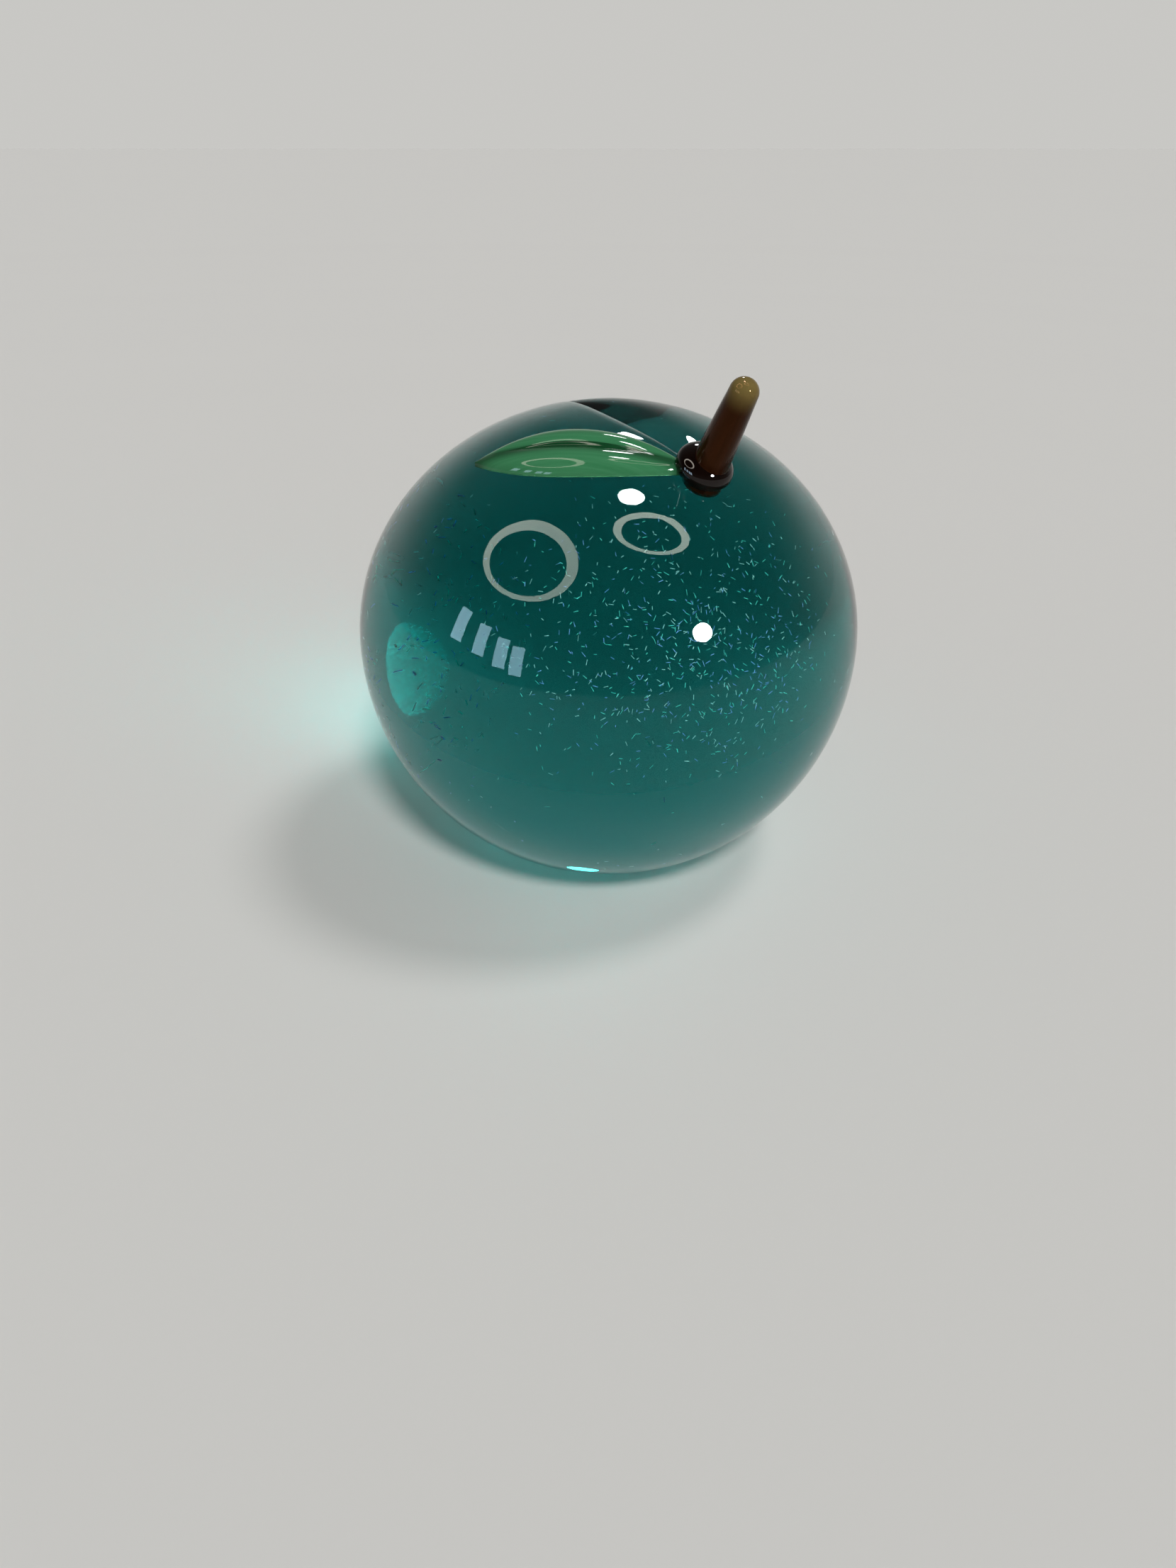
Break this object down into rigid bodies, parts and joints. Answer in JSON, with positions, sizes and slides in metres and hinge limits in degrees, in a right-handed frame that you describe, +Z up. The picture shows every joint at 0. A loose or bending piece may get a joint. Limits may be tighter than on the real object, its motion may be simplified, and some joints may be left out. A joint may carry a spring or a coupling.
{
  "type": "art glass apple paperweight",
  "caption": "Solid cased-glass apple ornament with glitter inside, a pressed green leaf, a pulled brown stem in a collar, a crease over the crown and a flat ground foot.",
  "frame": {"origin": "centre of the flat ground foot, on the surface that the apple stands on", "axes": "+Z up, -Y towards the viewer of the picture, +X to the viewer's right, the side that the stem leans to"},
  "size_m": [0.089, 0.089, 0.0895],
  "materials": {
    "core_glass": "clear teal glass",
    "casing_glass": "clear teal glass, fire polished, ground foot",
    "silver_flake": "bright silver glitter",
    "teal_flake": "dichroic teal glitter",
    "violet_flake": "dichroic violet glitter",
    "leaf_glass": "opaque glossy green glass",
    "vein_glass": "dark green glass trail",
    "stem_glass": "brown amber glass",
    "collar_glass": "dark brown glass"
  },
  "bodies": {
    "root": {"glass_core": "core_glass", "glass_casing": "casing_glass", "flakes_silver": "silver_flake", "flakes_teal": "teal_flake", "flakes_violet": "violet_flake", "leaf_blade": "leaf_glass", "leaf_vein": "vein_glass", "stem_rod": "stem_glass", "stem_collar": "collar_glass"}
  },
  "joints": []
}
